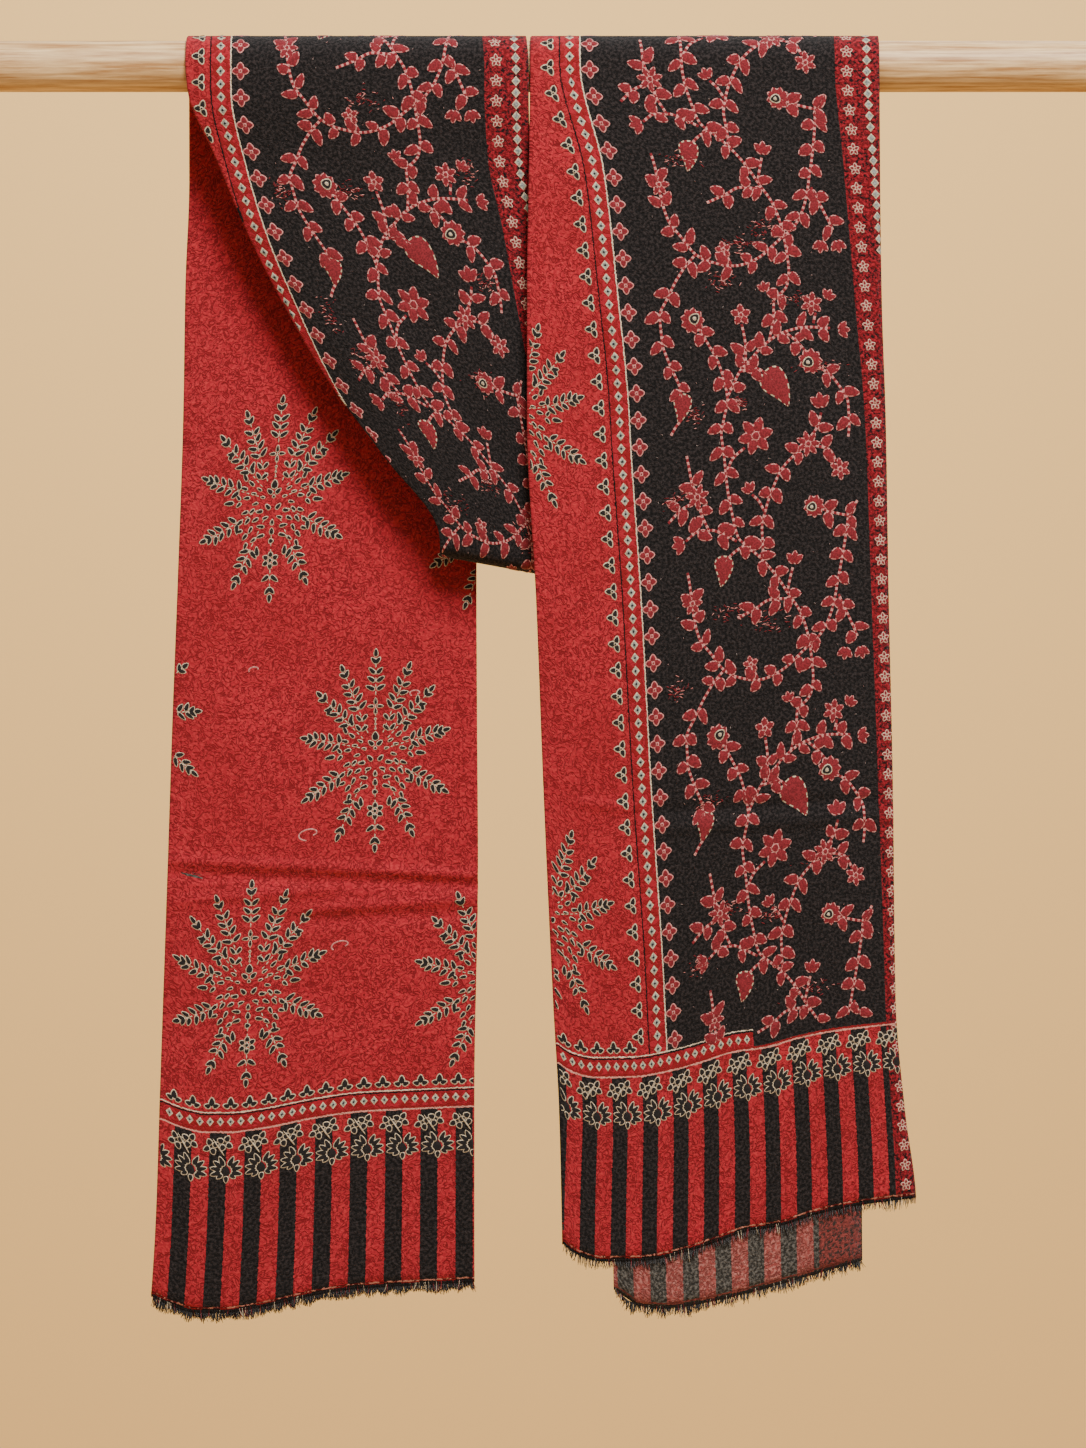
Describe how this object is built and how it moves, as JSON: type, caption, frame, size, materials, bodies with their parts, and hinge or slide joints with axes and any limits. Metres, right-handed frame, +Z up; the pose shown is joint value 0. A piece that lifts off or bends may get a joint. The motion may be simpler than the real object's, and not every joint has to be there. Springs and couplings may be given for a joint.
{
  "type": "embroidered wool stole draped over a wooden rod",
  "caption": "Patterned wool stole, folded lengthwise and looped over a round wooden rod, its frayed ends hanging in front and behind.",
  "frame": {"origin": "on the rod's axis at the middle of its length", "axes": "+X along the rod to the viewer's right, +Y away from the viewer, +Z up"},
  "size_m": [0.66, 0.0428, 0.7113],
  "materials": {
    "rod_wood": "sanded pale beech, dry",
    "stole_cloth": "red and charcoal wool twill with embroidery",
    "fringe_yarn": "dark frayed wool yarn"
  },
  "bodies": {
    "root": {"rod": "rod_wood", "stole": "stole_cloth", "fringe_front": "fringe_yarn", "fringe_back": "fringe_yarn"}
  },
  "joints": []
}
